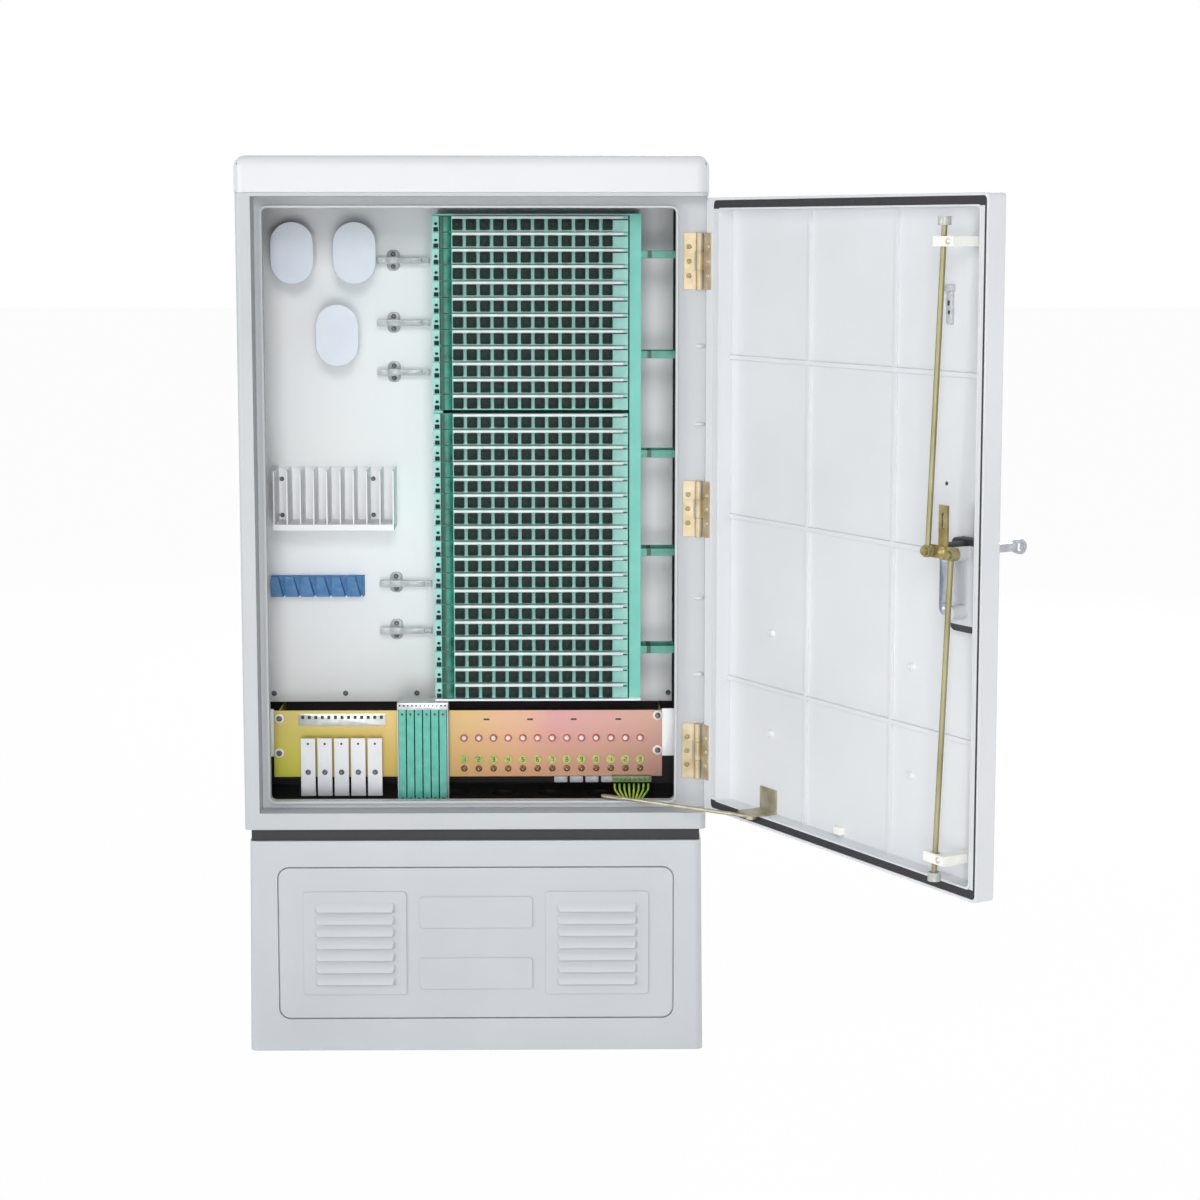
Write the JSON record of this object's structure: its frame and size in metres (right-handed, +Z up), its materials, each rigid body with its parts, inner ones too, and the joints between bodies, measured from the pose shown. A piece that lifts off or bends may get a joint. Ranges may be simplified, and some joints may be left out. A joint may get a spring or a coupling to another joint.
{
  "type": "fiber distribution cabinet",
  "caption": "Outdoor fibre cross-connect cabinet on a louvred plinth: hinged door with rod lock and stay, swing-out adapter trays, fibre spools, splitter rack and earth panel.",
  "frame": {"origin": "centre of the base anchor bolt pattern, on the plinth's underside", "axes": "+Z up, +Y towards the back of the cabinet, +X to the right seen from the front"},
  "size_m": [1.1753, 0.8953, 1.45],
  "materials": {
    "case_smc": "fine matt mould skin",
    "plinth_smc": "fine matt mould skin",
    "dark_rubber": "matt",
    "gilt_zinc": "pale yellow passivated zinc, satin",
    "lock_casting": "satin",
    "chrome_plate": "polished",
    "brass_rod": "satin",
    "nylon": "moulded",
    "white_sheet": "powder coat",
    "clear_plastic": "moulded",
    "blue_foam": "moulded",
    "tray_green": "moulded",
    "frame_green": "powder coat",
    "rainbow_zinc": "iridescent passivated zinc",
    "wire_skin": "yellow and green insulation",
    "dark_plate": "satin"
  },
  "bodies": {
    "cabinet": {"plinth": "plinth_smc", "plinth_cover": "plinth_smc", "plinth_band": "dark_rubber", "body_shell": "case_smc", "roof_cap": "case_smc", "hinge_frame_leaves": "gilt_zinc", "backboard": "white_sheet", "fibre_spools": "clear_plastic", "routing_clips": "clear_plastic", "splitter_rack": "white_sheet", "parking_strip": "blue_foam", "tray_frame": "frame_green", "routing_arms": "frame_green", "earth_panel": "rainbow_zinc", "splice_bars": "frame_green", "cable_clamps": "white_sheet", "earth_bar": "frame_green", "earth_wires": "wire_skin", "gland_plate": "dark_plate"},
    "door": {"door_panel": "case_smc", "door_seal": "dark_rubber", "hinge_door_leaves": "gilt_zinc", "lock_housing": "lock_casting", "rod_guides": "nylon", "stay_bracket": "brass_rod"},
    "lock_cam": {"lock_cam": "brass_rod"},
    "lock_handle": {"lock_handle": "chrome_plate"},
    "upper_rod": {"upper_rod": "brass_rod"},
    "lower_rod": {"lower_rod": "brass_rod"},
    "stay": {"stay_rod": "brass_rod"},
    "tray_01": {"tray_01": "tray_green"},
    "tray_02": {"tray_02": "tray_green"},
    "tray_03": {"tray_03": "tray_green"},
    "tray_04": {"tray_04": "tray_green"},
    "tray_05": {"tray_05": "tray_green"},
    "tray_06": {"tray_06": "tray_green"},
    "tray_07": {"tray_07": "tray_green"},
    "tray_08": {"tray_08": "tray_green"},
    "tray_09": {"tray_09": "tray_green"},
    "tray_10": {"tray_10": "tray_green"},
    "tray_11": {"tray_11": "tray_green"},
    "tray_12": {"tray_12": "tray_green"},
    "tray_13": {"tray_13": "tray_green"},
    "tray_14": {"tray_14": "tray_green"},
    "tray_15": {"tray_15": "tray_green"},
    "tray_16": {"tray_16": "tray_green"},
    "tray_17": {"tray_17": "tray_green"},
    "tray_18": {"tray_18": "tray_green"},
    "tray_19": {"tray_19": "tray_green"},
    "tray_20": {"tray_20": "tray_green"},
    "tray_21": {"tray_21": "tray_green"},
    "tray_22": {"tray_22": "tray_green"},
    "tray_23": {"tray_23": "tray_green"},
    "tray_24": {"tray_24": "tray_green"},
    "tray_25": {"tray_25": "tray_green"},
    "tray_26": {"tray_26": "tray_green"},
    "tray_27": {"tray_27": "tray_green"},
    "tray_28": {"tray_28": "tray_green"},
    "tray_29": {"tray_29": "tray_green"},
    "tray_30": {"tray_30": "tray_green"}
  },
  "joints": [
    {"name": "door_swing", "type": "hinge", "parent": "cabinet", "child": "door", "pos_m": [0.361, -0.124, 0.889], "axis": [0, 0, 1], "range_deg": [-120, 0]},
    {"name": "lock_turn", "type": "hinge", "parent": "door", "child": "lock_cam", "pos_m": [0.6855, -0.68605, 0.889], "axis": [-0.866, -0.5, 0], "range_deg": [-90, 0]},
    {"name": "handle_fold", "type": "hinge", "parent": "lock_cam", "child": "lock_handle", "pos_m": [0.71148, -0.67105, 0.889], "axis": [0, 0, 1], "range_deg": [-90, 0]},
    {"name": "upper_rod_pivot", "type": "hinge", "parent": "lock_cam", "child": "upper_rod", "pos_m": [0.6725, -0.66353, 0.889], "axis": [-0.866, -0.5, 0], "range_deg": [0, 93.3]},
    {"name": "lower_rod_pivot", "type": "hinge", "parent": "lock_cam", "child": "lower_rod", "pos_m": [0.6985, -0.70857, 0.889], "axis": [-0.866, -0.5, 0], "range_deg": [0, 93.28]},
    {"name": "stay_pivot", "type": "hinge", "parent": "door", "child": "stay", "pos_m": [0.4384, -0.26406, 0.4145], "axis": [0, 0, 1], "range_deg": [0, 153.43]},
    {"name": "tray_01_swing", "type": "hinge", "parent": "cabinet", "child": "tray_01", "pos_m": [-0.062, -0.044, 1.343], "axis": [0, 0, -1], "range_deg": [0, 90]},
    {"name": "tray_02_swing", "type": "hinge", "parent": "cabinet", "child": "tray_02", "pos_m": [-0.062, -0.044, 1.3168], "axis": [0, 0, -1], "range_deg": [0, 90]},
    {"name": "tray_03_swing", "type": "hinge", "parent": "cabinet", "child": "tray_03", "pos_m": [-0.062, -0.044, 1.2906], "axis": [0, 0, -1], "range_deg": [0, 90]},
    {"name": "tray_04_swing", "type": "hinge", "parent": "cabinet", "child": "tray_04", "pos_m": [-0.062, -0.044, 1.2644], "axis": [0, 0, -1], "range_deg": [0, 90]},
    {"name": "tray_05_swing", "type": "hinge", "parent": "cabinet", "child": "tray_05", "pos_m": [-0.062, -0.044, 1.2382], "axis": [0, 0, -1], "range_deg": [0, 90]},
    {"name": "tray_06_swing", "type": "hinge", "parent": "cabinet", "child": "tray_06", "pos_m": [-0.062, -0.044, 1.212], "axis": [0, 0, -1], "range_deg": [0, 90]},
    {"name": "tray_07_swing", "type": "hinge", "parent": "cabinet", "child": "tray_07", "pos_m": [-0.062, -0.044, 1.1858], "axis": [0, 0, -1], "range_deg": [0, 90]},
    {"name": "tray_08_swing", "type": "hinge", "parent": "cabinet", "child": "tray_08", "pos_m": [-0.062, -0.044, 1.1596], "axis": [0, 0, -1], "range_deg": [0, 90]},
    {"name": "tray_09_swing", "type": "hinge", "parent": "cabinet", "child": "tray_09", "pos_m": [-0.062, -0.044, 1.1334], "axis": [0, 0, -1], "range_deg": [0, 90]},
    {"name": "tray_10_swing", "type": "hinge", "parent": "cabinet", "child": "tray_10", "pos_m": [-0.062, -0.044, 1.1072], "axis": [0, 0, -1], "range_deg": [0, 90]},
    {"name": "tray_11_swing", "type": "hinge", "parent": "cabinet", "child": "tray_11", "pos_m": [-0.062, -0.044, 1.081], "axis": [0, 0, -1], "range_deg": [0, 90]},
    {"name": "tray_12_swing", "type": "hinge", "parent": "cabinet", "child": "tray_12", "pos_m": [-0.062, -0.044, 1.0548], "axis": [0, 0, -1], "range_deg": [0, 90]},
    {"name": "tray_13_swing", "type": "hinge", "parent": "cabinet", "child": "tray_13", "pos_m": [-0.062, -0.044, 1.0236], "axis": [0, 0, -1], "range_deg": [0, 90]},
    {"name": "tray_14_swing", "type": "hinge", "parent": "cabinet", "child": "tray_14", "pos_m": [-0.062, -0.044, 0.9974], "axis": [0, 0, -1], "range_deg": [0, 90]},
    {"name": "tray_15_swing", "type": "hinge", "parent": "cabinet", "child": "tray_15", "pos_m": [-0.062, -0.044, 0.9712], "axis": [0, 0, -1], "range_deg": [0, 90]},
    {"name": "tray_16_swing", "type": "hinge", "parent": "cabinet", "child": "tray_16", "pos_m": [-0.062, -0.044, 0.945], "axis": [0, 0, -1], "range_deg": [0, 90]},
    {"name": "tray_17_swing", "type": "hinge", "parent": "cabinet", "child": "tray_17", "pos_m": [-0.062, -0.044, 0.9188], "axis": [0, 0, -1], "range_deg": [0, 90]},
    {"name": "tray_18_swing", "type": "hinge", "parent": "cabinet", "child": "tray_18", "pos_m": [-0.062, -0.044, 0.8926], "axis": [0, 0, -1], "range_deg": [0, 90]},
    {"name": "tray_19_swing", "type": "hinge", "parent": "cabinet", "child": "tray_19", "pos_m": [-0.062, -0.044, 0.8664], "axis": [0, 0, -1], "range_deg": [0, 90]},
    {"name": "tray_20_swing", "type": "hinge", "parent": "cabinet", "child": "tray_20", "pos_m": [-0.062, -0.044, 0.8402], "axis": [0, 0, -1], "range_deg": [0, 90]},
    {"name": "tray_21_swing", "type": "hinge", "parent": "cabinet", "child": "tray_21", "pos_m": [-0.062, -0.044, 0.814], "axis": [0, 0, -1], "range_deg": [0, 90]},
    {"name": "tray_22_swing", "type": "hinge", "parent": "cabinet", "child": "tray_22", "pos_m": [-0.062, -0.044, 0.7878], "axis": [0, 0, -1], "range_deg": [0, 90]},
    {"name": "tray_23_swing", "type": "hinge", "parent": "cabinet", "child": "tray_23", "pos_m": [-0.062, -0.044, 0.7616], "axis": [0, 0, -1], "range_deg": [0, 90]},
    {"name": "tray_24_swing", "type": "hinge", "parent": "cabinet", "child": "tray_24", "pos_m": [-0.062, -0.044, 0.7354], "axis": [0, 0, -1], "range_deg": [0, 90]},
    {"name": "tray_25_swing", "type": "hinge", "parent": "cabinet", "child": "tray_25", "pos_m": [-0.062, -0.044, 0.7092], "axis": [0, 0, -1], "range_deg": [0, 90]},
    {"name": "tray_26_swing", "type": "hinge", "parent": "cabinet", "child": "tray_26", "pos_m": [-0.062, -0.044, 0.683], "axis": [0, 0, -1], "range_deg": [0, 90]},
    {"name": "tray_27_swing", "type": "hinge", "parent": "cabinet", "child": "tray_27", "pos_m": [-0.062, -0.044, 0.6568], "axis": [0, 0, -1], "range_deg": [0, 90]},
    {"name": "tray_28_swing", "type": "hinge", "parent": "cabinet", "child": "tray_28", "pos_m": [-0.062, -0.044, 0.6306], "axis": [0, 0, -1], "range_deg": [0, 90]},
    {"name": "tray_29_swing", "type": "hinge", "parent": "cabinet", "child": "tray_29", "pos_m": [-0.062, -0.044, 0.6044], "axis": [0, 0, -1], "range_deg": [0, 90]},
    {"name": "tray_30_swing", "type": "hinge", "parent": "cabinet", "child": "tray_30", "pos_m": [-0.062, -0.044, 0.5782], "axis": [0, 0, -1], "range_deg": [0, 90]}
  ],
  "couplings": [
    {"joint": "handle_fold", "follows": "lock_turn", "ratio": 1},
    {"joint": "upper_rod_pivot", "follows": "lock_turn", "ratio": -1.0367},
    {"joint": "lower_rod_pivot", "follows": "lock_turn", "ratio": -1.0365},
    {"joint": "stay_pivot", "follows": "door_swing", "ratio": -1.2786}
  ]
}
